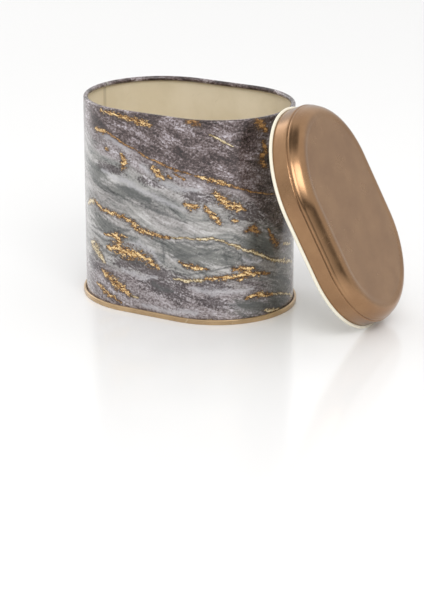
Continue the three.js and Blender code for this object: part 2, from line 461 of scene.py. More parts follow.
def way_round(tree, entry, column):
    """Where a column of the sheet stands: its run from the middle of the front, the point on
    the oval's middle line that it turns about, and the way it faces there."""
    half, radius = entry["Half straight"], entry["End radius"]
    end_run = tree.number("MULTIPLY", radius, math.pi)
    half_way = tree.number("MULTIPLY_ADD", half, 2, end_run)
    share = tree.number("DIVIDE", column, entry["Steps"])
    whole_way = tree.number("MULTIPLY", half_way, 2)
    run = tree.number("MULTIPLY_ADD", share, whole_way, entry["Sheet edge"])
    folded = tree.number("WRAP", run, tree.number("MULTIPLY", half_way, -1), half_way)
    side = tree.number("SIGN", folded)
    off = tree.number("ABSOLUTE", folded)
    front = tree.number("MINIMUM", off, half)
    bend = tree.number("DIVIDE", tree.number("SUBTRACT", off, half), radius)
    bend = tree.number("MINIMUM", tree.number("MAXIMUM", bend, 0), math.pi)
    back = tree.number("SUBTRACT", off, tree.number("ADD", half, end_run))
    straight = tree.number("SUBTRACT", front, tree.number("MAXIMUM", back, 0))
    middle_x = tree.number("MULTIPLY", side, straight)
    facing_x = tree.number("MULTIPLY", side, tree.number("SINE", bend))
    facing_y = tree.number("MULTIPLY", tree.number("COSINE", bend), -1)
    return run, middle_x, facing_x, facing_y


def bent_sheet(tree, entry, count, index):
    """A grid of a column for each step round the oval, each one the section in its place. The
    map "sheet" keeps each point's run round the wall and its run along the section."""
    section = entry["Section"]
    columns = tree.number("ADD", entry["Steps"], 1)
    grid = tree.add("GeometryNodeMeshGrid", {"Vertices X": columns, "Vertices Y": count})
    row = tree.number("MODULO", index, count)
    column = tree.number("FLOOR", tree.number("DIVIDE", index, count))
    run, middle_x, facing_x, facing_y = way_round(tree, entry, column)
    position = tree.add("GeometryNodeInputPosition")
    u, _, z = tree.split(taken(tree, section, position, row, "FLOAT_VECTOR"))
    reach = tree.number("ADD", entry["End radius"], u)
    x = tree.number("MULTIPLY_ADD", facing_x, reach, middle_x)
    y = tree.number("MULTIPLY", facing_y, reach)
    along = taken(tree, section, named_value(tree, "along"), row)
    flat = tree.add("GeometryNodeCaptureAttribute", {0: grid}, domain="POINT")
    flat.capture_items.new("VECTOR", "flat")
    fill(tree.tree, flat.inputs[1], tree.combine(run, along))
    inputs = {0: flat, "Position": tree.combine(x, y, z)}
    placed = tree.add("GeometryNodeSetPosition", inputs)
    return stored(tree, placed, "sheet", flat.outputs[1], "FLOAT2", "CORNER")


def one_skin(tree, sheet):
    """The sheet welded where its edges meet, and smooth but for its sharp edges."""
    welded = tree.add("GeometryNodeMergeByDistance", {0: sheet, "Distance": WELD_DISTANCE})
    smooth = tree.add("GeometryNodeSetShadeSmooth", {0: welded}, domain="FACE")
    angle = tree.add("GeometryNodeInputMeshEdgeAngle").outputs[0]
    inputs = {0: smooth, "Shade Smooth": tree.number("LESS_THAN", angle, SHARP_EDGE)}
    return tree.add("GeometryNodeSetShadeSmooth", inputs, domain="EDGE")


def oval_wrap():
    """Wraps the incoming section round the oval, as one smooth sheet with its two finishes."""
    tree, entry, leave = new_group(
        "sheet round the oval",
        "GeometryNodeTree",
        {
            "Section": GEOMETRY,
            "Half straight": 0.016,
            "End radius": 0.04,
            "Sheet edge": 0.0,
            "Steps": 360,
            "Outside": MATERIAL,
            "Lining": MATERIAL,
        },
        ["Sheet"],
        GEOMETRY,
    )
    section = entry["Section"]
    size = tree.add("GeometryNodeAttributeDomainSize", {0: section})
    count = size.outputs["Point Count"]
    index = tree.add("GeometryNodeInputIndex").outputs[0]
    sheet = bent_sheet(tree, entry, count, index)

    # Each column of faces has one face fewer than the section has points.
    row = tree.number("MODULO", index, tree.number("SUBTRACT", count, 1))
    lining = taken(tree, section, named_value(tree, "lining"), row)
    marked = stored(tree, sheet, "is lining", lining, "FLOAT", "FACE")
    whole = tree.add("GeometryNodeRealizeInstances", {0: one_skin(tree, marked)})
    dressed = tree.add("GeometryNodeSetMaterial", {0: whole, "Material": entry["Outside"]})
    is_lining = tree.number("GREATER_THAN", named_value(tree, "is lining"), 0.5)
    inputs = {0: dressed, "Selection": is_lining, "Material": entry["Lining"]}
    return close_group(tree, leave, tree.add("GeometryNodeSetMaterial", inputs))


def set_input(modifier, name, value):
    """Sets a modifier's input, found by its name, through its identifier."""
    for socket in modifier.node_group.interface.items_tree:
        if socket.name == name and socket.in_out == "INPUT":
            modifier[socket.identifier] = value


def wrap_sheet(name, section, closed, tree, outside, lining, place):
    """One piece of sheet: its section wrapped round the oval, made a plain mesh and placed."""
    line = section_mesh(name + "_section", section, closed)
    holder = bpy.data.objects.new(line.name, line)
    bpy.context.scene.collection.objects.link(holder)
    wrapper = holder.modifiers.new("wrap", "NODES")
    wrapper.node_group = tree
    inputs = {
        "Half straight": HALF_STRAIGHT,
        "End radius": END_RADIUS,
        "Sheet edge": SIDE_SEAM,
        "Steps": STEPS_ROUND,
        "Outside": outside,
        "Lining": lining,
    }
    for input_name, value in inputs.items():
        set_input(wrapper, input_name, value)
    evaluated = holder.evaluated_get(bpy.context.evaluated_depsgraph_get())
    mesh = bpy.data.meshes.new_from_object(evaluated)
    bpy.data.objects.remove(holder)
    mesh.name = name
    mesh.transform(place)
    piece = bpy.data.objects.new(name, mesh)
    bpy.context.scene.collection.objects.link(piece)
    return piece


# ----------------------------------------------------------
# Effects shared by the finishes
# ----------------------------------------------------------

# How the fine scratches run: two sets, each turned and drawn out to hairlines.
SCRATCH_TURNS = ((0.3, 0.9, 0.2), (1.2, -0.4, 0.8))
SCRATCH_FINENESS = (90, 2600, 260)


def hairlines(tree, place):
    """Fine scratches: 1 in one, 0 beside it."""
    lines = []
    for turns in SCRATCH_TURNS:
        drawn_out = tree.vector("MULTIPLY", tree.turned(place, turns), SCRATCH_FINENESS)
        lines.append(tree.noise(drawn_out, scale=1, detail=1, roughness=0.4)[0])
    return tree.ramp(tree.number("MAXIMUM", *lines), 0.735, 0.775)


def handling_marks():
    """Soft smudges, hairline scratches and a fine ripple, as lacquered sheet gets them."""
    tree, entry, leave = new_group(
        "handling marks",
        "ShaderNodeTree",
        {
            "Place": VECTOR,
            "Base roughness": 0.3,
            "Smudges": 0.1,
            "Scratches": 0.1,
            "Ripple": 0.5,
        },
        ["Roughness", "Scratch", "Height"],
    )
    place = entry["Place"]
    blotch = tree.noise(place, scale=70, detail=4, roughness=0.6, distortion=0.6)[0]
    smudge = tree.number("MULTIPLY", tree.ramp(blotch, 0.46, 0.72), entry["Smudges"])
    grease = tree.noise(place, scale=420, detail=2, roughness=0.5)[0]
    grained = tree.number("MULTIPLY_ADD", grease, 0.06, entry["Base roughness"])
    scratch = tree.number("MULTIPLY", hairlines(tree, place), entry["Scratches"])
    dulled = tree.number("ADD", grained, smudge)
    rough = tree.number("ADD", dulled, tree.number("MULTIPLY", scratch, 0.2))
    peel = tree.noise(place, scale=650, detail=3, roughness=0.5)[0]
    ripple = tree.number("MULTIPLY", peel, entry["Ripple"])
    height = tree.number("MULTIPLY_ADD", scratch, -0.35, ripple)
    return close_group(tree, leave, rough, scratch, height)


def edge_wear():
    """Worn flecks within a band of the sheet: Where runs from 1 on the edge to 0 off it."""
    tree, entry, leave = new_group(
        "edge wear",
        "ShaderNodeTree",
        {"Place": VECTOR, "Where": 0.0, "Amount": 0.5},
        ["Worn"],
    )
    flecks = tree.noise(entry["Place"], scale=380, detail=5, roughness=0.65)[0]
    limit = tree.number("MULTIPLY_ADD", entry["Amount"], -0.22, 0.74)
    bare = tree.ramp(flecks, limit, tree.number("ADD", limit, 0.05))
    return close_group(tree, leave, tree.number("MULTIPLY", bare, entry["Where"]))


def side_seam():
    """The welded side seam: a strip beside the sheet's edge, 1 on it and 0 off it."""
    tree, entry, leave = new_group(
        "side seam",
        "ShaderNodeTree",
        {"Sheet": VECTOR, "Edge": SIDE_SEAM, "Width": 1 * MM},
        ["Strip"],
    )
    run = tree.split(entry["Sheet"])[0]
    off = tree.number("SUBTRACT", run, entry["Edge"])
    inner = tree.number("MULTIPLY", entry["Width"], 0.8)
    return close_group(tree, leave, tree.ramp(off, inner, entry["Width"], 1.0, 0.0))


def band_of(tree, height, low, high, soft):
    """1 between two heights, 0 outside, with soft ends."""
    above = tree.ramp(height, low - soft, low)
    below = tree.ramp(height, high, high + soft, 1.0, 0.0)
    return tree.number("MULTIPLY", above, below)


# ----------------------------------------------------------
# Marble print. Places on the print are (s, z) in millimetres: s round the wall from the middle
# of the front, towards the lid, and z upwards. A vein is a list of (s, z, width).
# ----------------------------------------------------------

BRIGHT_VEINS = {
    "top streak": [(-29, 103, 1.4), (-20, 101.8, 1.6), (-10, 101, 2.2), (0, 100.2, 2.4), (2, 100, 1.2)],
    "left patch": [(-33, 92.6, 2.2), (-27, 92.4, 1.8)],
    "standing flake": [(-15.5, 81.5, 2.6), (-14.6, 78, 3.4), (-15.5, 75, 1.6)],
    "slanting flake": [(3, 77.4, 2.6), (6, 74.6, 3), (9, 73, 1.2)],
    "speck beside it": [(11, 74.6, 1.6), (13, 74.2, 1)],
    "speck on the left": [(-26, 84.2, 1.8), (-24.5, 83.2, 1.2)],
    "boundary swelling": [(28, 76.8, 1), (33, 75.4, 1.8), (39, 73.2, 2.2), (43, 72, 1)],
    "long flake": [(36.5, 68.2, 2), (39.5, 65, 3.6), (43.5, 62.2, 3.6), (48, 60.6, 2.8), (51, 59.4, 1.2)],
    "short flake": [(21, 61.8, 1.6), (24, 61.4, 3), (27, 61.8, 2)],
    "falling flecks": [(30.6, 62, 1.2), (32.4, 58.6, 1.8), (35.2, 56.4, 2.6), (38.6, 53.2, 1.8)],
    "fleck after them": [(44.6, 54, 1.4), (47, 53.8, 1)],
    "rope": [(-35, 53.4, 1), (-28, 51.4, 1.8), (-21, 50.6, 2), (-15, 50, 2), (-10, 48, 2)],
    "rope falling": [(-10, 48, 2), (-6.5, 45, 2.2), (-1, 43.2, 2), (6, 42.6, 1.6), (12, 43, 1)],
    "stem": [(-19, 40, 2.4), (-17.6, 36.6, 3), (-18, 33, 3.4)],
    "stem head": [(-28, 38.6, 0.7), (-22, 39.4, 1.6), (-14, 39.6, 1.5)],
    "big patch": [(-26, 32.4, 1.6), (-20, 33.2, 4.4), (-13, 31.4, 4.8), (-6, 31.6, 4.2)],
    "big patch falling": [(-6, 31.6, 4.2), (0, 29, 4), (4.6, 26.6, 1.8)],
    "slope low left": [(-29, 18, 2), (-24, 15.4, 3.6), (-18, 12.6, 3.6), (-12, 9, 1.6)],
    "low left edge": [(-35, 11, 0.8), (-29, 8.4, 2), (-24, 6.6, 1.6), (-17, 4, 1)],
    "middle dashes": [(17.6, 31.6, 1), (22, 30, 2), (28, 29, 1.6), (32.6, 28.6, 1)],
    "low band": [(31, 23.4, 1), (38, 23.8, 1.8), (46, 25.2, 2.4), (54, 26, 3), (60, 25.2, 1.6)],
    "low band above": [(44.6, 29.4, 1.4), (50, 28.6, 2.6), (56, 28, 1.4)],
    "right low": [(51.6, 13, 1.6), (57, 13.6, 2.2), (63, 13.2, 2), (68, 12.4, 1)],
}

PALE_VEINS = {
    "pale patch": [(-40.5, 30.6, 2), (-35.5, 29.2, 4.4), (-31, 26.4, 2.6), (-27.4, 23.6, 1.2)],
    "pale line": [(12, 43.6, 0.6), (25, 44.8, 0.8), (35, 45.2, 1), (41, 43, 0.9), (48, 40, 1.2)],
    "pale line on": [(48, 40, 1.2), (57, 35.6, 1.2), (66, 31.4, 1.2), (75, 28.6, 1.6), (89, 23, 1.6)],
    "low pale line": [(14.6, 22.4, 1), (22, 22.6, 1.4), (31, 23, 1.2)],
    "right low line": [(68, 12.4, 0.8), (75, 11.4, 1.1), (82, 8.4, 1.2), (91, 4, 1.2)],
    "right dash": [(77, 36.2, 1.6), (80, 35.4, 1.6), (84.6, 34.4, 1)],
    "rope end": [(-44, 51, 1.4), (-40, 53, 2), (-35, 53.4, 1.4)],
    "rim line": [(33, 98, 0.6), (38, 95.6, 1), (44, 93, 0.7)],
    "tail": [(-12, 9, 1), (-7, 8, 0.6)],
    "foot specks": [(29, 1.9, 1), (34, 2.2, 1.2)],
    "foot line": [(63, 4.4, 1.4), (68, 3.4, 1.4), (73, 2.4, 0.8)],
}

BROWN_VEINS = {
    "boundary": [(-27, 93, 0.9), (-19, 90, 0.8), (-12, 87.4, 0.6), (-5, 84.6, 0.7), (2, 82, 0.9)],
    "boundary middle": [(2, 82, 0.9), (9, 79.8, 1), (16, 78.6, 0.8), (22, 77.8, 0.6), (28, 76.8, 0.8)],
    "boundary right": [(43, 72, 0.9), (50, 69.4, 0.6), (60, 66.6, 0.6), (70, 64, 0.4)],
    "rim patch": [(22.6, 104, 2.6), (27, 103, 3)],
    "right patch": [(57, 104, 2.4), (60, 100.6, 4), (62.5, 98, 2.6)],
    "right flakes": [(61, 92, 1.6), (62.4, 87.4, 2.6), (59.6, 84.4, 2.4), (63, 79.4, 2)],
    "brown speck": [(51.6, 48.6, 1.6), (55.6, 49, 2.8), (58.4, 46.4, 2)],
    "brown fall": [(65, 47, 1), (67.4, 41.6, 1.8), (71.4, 37.2, 2.6)],
    "beneath the flake": [(14, 77, 0.7), (20.6, 74.6, 0.9)],
    "below the band": [(58, 26, 1.4), (66, 24, 0.9)],
    "far side, high": [(96, 92, 0.8), (108, 88, 1.6), (117, 82, 2.6), (131, 79, 1.2), (150, 74, 1.6)],
    "far side, low": [(-86, 30, 1.2), (-74, 25, 2.2), (-64, 23, 1.2), (-54, 19, 0.8)],
}

FAR_VEINS = {
    "long band": [(92, 58, 1), (104, 52, 2.4), (116, 50, 3.6), (127, 44, 2.2), (142, 42, 1)],
    "long band onwards": [(142, 42, 1), (156, 35, 1.8), (168, 33, 3.4), (178, 28, 2), (192, 26, 0.8)],
    "low rope": [(108, 20, 1), (122, 15, 2), (136, 16, 1.6), (150, 10, 2.8), (163, 8, 1)],
    "high flakes": [(158, 92, 1.6), (164, 88, 3), (171, 87, 1.4)],
    "falling flakes": [(186, 76, 1.4), (190, 70, 3), (197, 66, 2.6), (203, 65, 1)],
    "left streak": [(-85, 73, 1), (-76, 70, 2.2), (-66, 64, 1.4), (-57, 62, 0.8)],
    "seam streak": [(206, 48, 0.8), (214, 44, 2), (222, 43, 1.4)],
}

SMOKE_VEINS = {
    "stone's upper edge": [(13, 33.6, 1), (22, 35.2, 2), (31, 37.6, 1.4), (40, 39.4, 0.8)],
    "stone's left edge": [(7.4, 39.6, 1.4), (8.2, 35, 2), (8.4, 30.4, 1)],
    "ring": [(42, 34, 1.2), (41.4, 37.4, 1.2), (45.4, 39, 1.2), (49, 36, 1), (50, 32, 1)],
    "stone's lower edge": [(12, 26.4, 0.8), (22, 25.4, 1), (34, 27.6, 1.2), (46, 31, 0.8)],
    "line over the stone": [(16, 41.6, 1), (26, 42.4, 2), (38, 43, 1.4), (46, 38.6, 1)],
    "beneath the rope": [(-20, 40.6, 1.4), (-14, 43.4, 2), (-11, 44, 1)],
    "left smoke": [(-40, 40.4, 1.2), (-33, 40, 1.8), (-22, 39, 1)],
    "left smoke below": [(-40, 37.6, 1), (-30, 35.6, 2.4), (-22, 36, 1)],
    "under the big patch": [(-32, 31.4, 1.6), (-24, 29, 2.4), (-13, 28, 2.4), (-2, 26, 1.6)],
    "dark low stone": [(2, 17.6, 2), (7, 15.4, 4), (13, 15, 1.6)],
    "dark low right": [(44, 9.6, 2.4), (52, 8.4, 4.4), (60, 9.4, 2.6)],
    "grey shadow": [(-18, 66, 3), (-9, 62.4, 5), (0, 61, 2.4)],
    "line under the shadow": [(-2, 57.4, 1.4), (10, 55, 2), (22, 52.4, 1)],
    "right shade": [(60, 45.4, 2), (64, 38, 4), (69, 31.6, 2.6), (73, 26, 2)],
    "low right smoke": [(60, 22, 1.6), (72, 20.4, 1.6), (80, 17.4, 1)],
    "far smoke": [(100, 34, 1.6), (114, 30, 4), (130, 27, 2), (146, 24, 3), (160, 20, 1)],
    "far smoke high": [(120, 66, 2), (138, 62, 4.4), (156, 57, 2), (176, 52, 3), (190, 48, 1)],
}

PALE_WISPS = {
    "wisp under the boundary": [(-30, 91, 2), (-22, 89.4, 3), (-12, 85.2, 2.4)],
    "wisp in the grey": [(-28, 72, 2), (-16, 69, 3.4), (-4, 65.6, 3), (10, 60.6, 2.4), (22, 58.6, 1.4)],
    "wisp by the stem": [(-14, 36, 2), (-6, 37.4, 3.4), (2, 34, 2.6), (6, 29.6, 1.6)],
    "wisp in the lilac": [(-4, 78, 2), (8, 70.6, 3), (18, 69, 3), (30, 70.6, 1.6)],
    "wisp low": [(-16, 22, 2), (-4, 19.4, 3), (4, 21, 1.6)],
    "wisp low right": [(24, 18.6, 2), (34, 16.6, 4), (46, 17, 3), (56, 18, 1.4)],
    "wisp on the right": [(50, 34, 1.6), (54, 31, 2.4), (60, 31.6, 1)],
    "wisp at the foot": [(-4, 5, 2), (10, 4, 3), (26, 6, 3)],
    "far wisp": [(96, 40, 2), (112, 38, 5), (134, 34, 3), (152, 30, 4), (170, 24, 2)],
}

# Colours of the stone, from its darkest grain to its lightest.
DARK_STONE = [
    (0.24, srgb(24, 17, 18)),
    (0.39, srgb(56, 44, 44)),
    (0.52, srgb(94, 80, 79)),
    (0.64, srgb(140, 129, 131)),
    (0.78, srgb(196, 189, 196)),
]
SMOOTH_STONE = [
    (0.22, srgb(76, 80, 79)),
    (0.4, srgb(130, 131, 129)),
    (0.54, srgb(161, 159, 156)),
    (0.74, srgb(205, 203, 202)),
]
LILAC_STONE = [
    (0.24, srgb(46, 38, 41)),
    (0.4, srgb(106, 95, 96)),
    (0.54, srgb(150, 142, 143)),
    (0.74, srgb(206, 201, 207)),
]
PLUM_STONE = [
    (0.2, srgb(34, 28, 30)),
    (0.4, srgb(66, 57, 59)),
    (0.56, srgb(93, 85, 87)),
    (0.78, srgb(150, 143, 148)),
]
GREY_STONE = [
    (0.2, srgb(46, 49, 48)),
    (0.4, srgb(90, 92, 90)),
    (0.56, srgb(116, 117, 114)),
    (0.78, srgb(152, 152, 150)),
]

# Clouds in the stone, as (s, z, half length, half height) of each.
PLUM_CLOUDS = [
    (4, 24, 22, 5),
    (10, 16, 18, 7),
    (-14, 25, 12, 3.5),
    (34, 20, 12, 3.5),
    (36, 11, 12, 3.5),
    (-24, 74, 12, 3),
    (2, 70, 10, 2.6),
    (26, 66, 10, 3.5),
    (54, 57, 12, 6),
    (-40, 20, 9, 5),
    (122, 24, 22, 7),
    (176, 14, 18, 7),
    (-72, 12, 13, 6),
]
GREY_CLOUDS = [
    (28, 35, 26, 8.5),
    (-12, 63, 15, 4),
    (-28, 43, 16, 5),
    (-32, 70, 15, 8),
    (54, 8, 16, 6),
    (60, 42, 16, 10),
    (74, 14, 14, 12),
    (150, 46, 24, 6),
    (100, 66, 20, 5),
    (196, 30, 22, 8),
]

# Colours of the metal in the veins, and of what lies under and beside them.
GOLD_GRIT = [
    (0.4, srgb(46, 28, 10)),
    (0.46, srgb(124, 84, 38)),
    (0.53, srgb(184, 138, 76)),
    (0.6, srgb(250, 220, 164)),
]
PALE_GRIT = [
    (0.39, srgb(84, 66, 40)),
    (0.47, srgb(160, 136, 92)),
    (0.6, srgb(236, 222, 188)),
]
BROWN_GRIT = [
    (0.39, srgb(54, 36, 20)),
    (0.5, srgb(126, 88, 50)),
    (0.61, srgb(190, 146, 92)),
]
# Painted shade: how dark the lid's shade makes the print, multiplied into its colour.
PAINTED_SHADE_COLOUR = (0.08, 0.08, 0.08, 1)
SMOKE_COLOUR = srgb(74, 76, 76)
WISP_COLOUR = srgb(186, 184, 188)
VEIN_SHADOW = srgb(64, 52, 46)

# How the pattern lies: turns of the flow and of the clouds along it.
FLOW_TURN = (0, 0, math.radians(18))
CLOUD_TURN = (0, 0, math.radians(8))

# The line where the dark stone meets the light one: its height at the middle of the front and
# its slope, then where it dips and where it climbs, as (from s, to s, by 0, to this much).
BOUNDARY_HEIGHT = 82.5
BOUNDARY_SLOPE = -0.27
BOUNDARY_DIP = (46, 78, 0, 20)
BOUNDARY_CLIMB = (92, 140, 0, 52)

# The part of the print that the lid's shade falls on, darkened there as painted shade, between where it
# comes in and where it goes.
PAINTED_SHADE_FROM = (42, 62)
PAINTED_SHADE_TO = (80, 92)
PAINTED_SHADE_STRENGTH = 0.42


def vein_length():
    """How well a stretch of vein covers a place: 1 on its middle line, 0 at its edge, below 0
    outside. Places and widths are in millimetres of the print."""
    tree, entry, leave = new_group(
        "vein length",
        "ShaderNodeTree",
        {"Place": VECTOR, "From": VECTOR, "To": VECTOR, "Start width": 1.0, "End width": 1.0},
        ["Cover"],
    )
    from_start = tree.vector("SUBTRACT", entry["Place"], entry["From"])
    whole = tree.vector("SUBTRACT", entry["To"], entry["From"])
    reached = tree.vector("DOT_PRODUCT", from_start, whole)
    share = tree.number("DIVIDE", reached, tree.vector("DOT_PRODUCT", whole, whole))
    share = tree.number("MINIMUM", tree.number("MAXIMUM", share, 0), 1)
    distance = tree.vector("DISTANCE", from_start, tree.scaled(whole, share))
    growth = tree.number("SUBTRACT", entry["End width"], entry["Start width"])
    width = tree.number("MULTIPLY_ADD", growth, share, entry["Start width"])
    off = tree.number("DIVIDE", distance, tree.number("MULTIPLY", width, 0.6))
    return close_group(tree, leave, tree.number("SUBTRACT", 1, off))


def widest(tree, covers):
    """The greatest of several covers."""
    greatest = covers[0]
    for cover in covers[1:]:
        greatest = tree.number("MAXIMUM", greatest, cover)
    return greatest


def vein_cover(tree, group, place, veins):
    """The best cover that any stretch of these veins gives a place."""
    covers = []
    for vein in veins.values():
        for start, end in zip(vein, vein[1:]):
            stretch = place_group(
                tree,
                group,
                Place=place,
                From=(start[0], start[1], 0),
                To=(end[0], end[1], 0),
                Start_width=start[2],
                End_width=end[2],
            )
            covers.append(stretch["Cover"])
    return widest(tree, covers)


def drifted(tree, place, drift, reach):
    """A place moved about by a noise's colour, by up to half its reach each way."""
    off_middle = tree.vector("SUBTRACT", drift, (0.5, 0.5, 0.5))
    return tree.vector("ADD", place, tree.scaled(off_middle, reach))


def marble_flow(tree, place):
    """The print's place bent by slow wandering, and the same swung and turned with the flow."""
    slow = tree.noise(place, scale=0.09, detail=2, roughness=0.5)[1]
    fine = tree.noise(place, scale=0.5, detail=3, roughness=0.6)[1]
    wide = tree.noise(place, scale=0.028, detail=2, roughness=0.5)[1]
    bent = drifted(tree, drifted(tree, place, slow, 3.4), fine, 1.1)
    bent = tree.vector("MULTIPLY", bent, (1, 1, 0))
    return bent, tree.turned(drifted(tree, place, wide, 13), FLOW_TURN)


def grain_of(tree, flow, fineness, detail, roughness):
    """Noise stretched along the flow. fineness is along it and across it, per millimetre."""
    stretched = tree.vector("MULTIPLY", flow, (fineness[0], fineness[1], 0))
    return tree.noise(stretched, 1, detail, roughness)[0]


def mixed_grain(tree, *grains):
    """Grains added about their middle value, each as strong as it says."""
    total = 0.5
    for grain, strength in grains:
        total = tree.swayed(total, grain, strength)
    return total


def torn_clouds(tree, place, grain, clouds):
    """Soft clouds in the lower stone, along the flow and torn by the stone's grain."""
    covers = []
    for s, z, length, height in clouds:
        off = tree.turned(tree.vector("SUBTRACT", place, (s, z, 0)), CLOUD_TURN)
        off = tree.vector("MULTIPLY", off, (1 / length, 1 / height, 0))
        covers.append(tree.ramp(tree.vector("LENGTH", off), 0.1, 1.5, 1.0, 0.0))
    torn = tree.swayed(widest(tree, covers), grain, -2.4)
    return tree.number("MULTIPLY", tree.ramp(torn, 0.25, 0.85), 0.9)


def over_boundary(tree, s, z):
    """How far a place is above the line where the dark stone meets the light one."""
    line = tree.number("MULTIPLY_ADD", s, BOUNDARY_SLOPE, BOUNDARY_HEIGHT)
    line = tree.number("SUBTRACT", line, tree.ramp(s, *BOUNDARY_DIP))
    line = tree.number("ADD", line, tree.ramp(s, *BOUNDARY_CLIMB))
    return tree.number("SUBTRACT", z, line)


def light_stone(tree, place, grains, above, z):
    """The lower stone: smooth and streaked, lilac by the boundary and the foot, and clouded."""
    smooth_grain = mixed_grain(
        tree, (grains["streak"], 0.85), (grains["fibre"], 0.5), (grains["speck"], 0.35)
    )
    lilac_grain = mixed_grain(
        tree, (grains["speck"], 0.9), (grains["streak"], 0.55), (grains["fibre"], 0.5)
    )
    by_boundary = tree.ramp(tree.swayed(above, grains["streak"], 34), -14, -3)
    by_foot = tree.ramp(tree.swayed(z, grains["streak"], 30), 16, 27, 1.0, 0.0)
    elsewhere = tree.number("MULTIPLY", grains["cloud"], 0.35)
    in_lilac = widest(tree, [by_boundary, by_foot, elsewhere])
    smooth = tree.colours(smooth_grain, SMOOTH_STONE)
    light = tree.blend(in_lilac, smooth, tree.colours(lilac_grain, LILAC_STONE))
    grey = torn_clouds(tree, place, smooth_grain, GREY_CLOUDS)
    light = tree.blend(grey, light, tree.colours(smooth_grain, GREY_STONE))
    plum = torn_clouds(tree, place, lilac_grain, PLUM_CLOUDS)
    return tree.blend(plum, light, tree.colours(lilac_grain, PLUM_STONE))


def marble_stone(tree, place, bent, flow):
    """The stone itself: a dark speckled part above, a smooth streaked part below, and painted shade of
    the lid darkening it round the wall towards the lid.
    """
    cloud = grain_of(tree, flow, (0.03, 0.07), detail=3, roughness=0.5)
    grains = {
        "speck": grain_of(tree, bent, (0.8, 0.95), detail=3, roughness=0.7),
        "blotch": grain_of(tree, flow, (0.075, 0.13), detail=4, roughness=0.55),
        "streak": grain_of(tree, flow, (0.035, 0.14), detail=4, roughness=0.58),
        "fibre": grain_of(tree, flow, (0.13, 0.6), detail=3, roughness=0.6),
        "cloud": tree.ramp(cloud, 0.36, 0.62),
    }
    dark_grain = mixed_grain(
        tree, (grains["speck"], 1.0), (grains["fibre"], 0.5), (grains["blotch"], 0.85)
    )
    s, z, _ = tree.split(place)
    above = over_boundary(tree, s, z)
    in_dark = tree.ramp(tree.swayed(above, grains["speck"], 9), -1.2, 1.6)
    light = light_stone(tree, place, grains, above, z)
    stone = tree.blend(in_dark, light, tree.colours(dark_grain, DARK_STONE))
    # Painted shade of the lid, multiplied into the print's colour round the wall towards the lid.
    painted_shade = tree.number("MULTIPLY", tree.ramp(s, *PAINTED_SHADE_FROM), tree.ramp(s, *PAINTED_SHADE_TO, 1.0, 0.0))
    painted_shade = tree.number("MULTIPLY", painted_shade, PAINTED_SHADE_STRENGTH)
    return tree.blend(painted_shade, stone, PAINTED_SHADE_COLOUR, "MULTIPLY")


def with_gold(tree, stone, cover_of, ragged, grit):
    """The stone with its brown, pale and bright veins on it, and how much of it is metal."""
    colour = stone
    masks = []
    for veins, stops in (
        (BROWN_VEINS, BROWN_GRIT),
        (PALE_VEINS, PALE_GRIT),
        ({**BRIGHT_VEINS, **FAR_VEINS}, GOLD_GRIT),
    ):
        cover = tree.number("ADD", cover_of(veins), ragged)
        colour = tree.tinted(colour, tree.ramp(cover, -1.4, 0.1), 0.85, VEIN_SHADOW)
        dark_at_edge = tree.ramp(cover, 0.0, 0.7, -0.085, 0.022)
        metal = tree.colours(tree.number("ADD", grit, dark_at_edge), stops)
        masks.append(tree.ramp(cover, -0.05, 0.3))
        colour = tree.blend(masks[-1], colour, metal)
    return colour, widest(tree, masks)


def veined_marble(tree, sheet):
    """The whole print at a place on the sheet. Returns its colour and how much is metal."""
    place = tree.scaled(sheet, 1 / MM)
    bent, flow = marble_flow(tree, place)
    stone = marble_stone(tree, place, bent, flow)
    group = vein_length()

    # The edges of the veins are ragged, and their metal is streaked along the flow.
    torn = tree.noise(tree.vector("MULTIPLY", bent, (0.42, 0.62, 1)), 1, 4, 0.62)[0]
    torn_fine = tree.noise(bent, scale=1.9, detail=2, roughness=0.5)[0]
    ragged = tree.swayed(tree.swayed(0.0, torn, 4.4), torn_fine, 3.2)
    streaks = grain_of(tree, flow, (0.28, 0.8), detail=3, roughness=0.6)
    flecks = grain_of(tree, bent, (1.3, 1.5), detail=3, roughness=0.75)
    grit = mixed_grain(tree, (streaks, 0.75), (flecks, 0.75))

    def cover_of(veins):
        return vein_cover(tree, group, bent, veins)

    def laid_over(colour, veins, top, low, high, strength):
        torn_cover = tree.number("MULTIPLY_ADD", ragged, 0.6, cover_of(veins))
        return tree.tinted(colour, tree.ramp(torn_cover, low, high), strength, top)

    colour = laid_over(stone, PALE_WISPS, WISP_COLOUR, -0.5, 1.1, 0.62)
    colour = laid_over(colour, SMOKE_VEINS, SMOKE_COLOUR, -0.4, 1.0, 0.72)
    return with_gold(tree, colour, cover_of, ragged, grit)


# ----------------------------------------------------------
# Finishes
# ----------------------------------------------------------

# Two close shades of each finish, the deeper first.
TIN_CREAM = (srgb(214, 201, 173), srgb(224, 212, 187))
LID_CREAM = (srgb(232, 225, 204), srgb(240, 234, 216))
GOLD_SHADES = (srgb(176, 148, 112), srgb(196, 168, 130))
PALE_GOLD_SHADES = (srgb(206, 190, 158), srgb(218, 204, 174))
COPPER_SHADES = (srgb(147, 113, 83), srgb(161, 126, 93))
COMPOUND_SHADES = (srgb(62, 58, 54), srgb(88, 84, 78))

# What shows where a finish is worn, scratched or joined.
WORN_PRINT = srgb(176, 170, 160)
SCRATCHED_PRINT = srgb(190, 186, 182)
SEAM_ON_PRINT = srgb(150, 148, 142)
DRAWN_LINES = srgb(150, 136, 108)
SCRATCHED_CREAM = srgb(170, 154, 124)
SEAM_ON_CREAM = srgb(168, 156, 130)
WORN_GOLD = srgb(190, 186, 178)
SCRATCHED_GOLD = srgb(226, 208, 176)
COPPER_FLAKE = srgb(214, 178, 146)

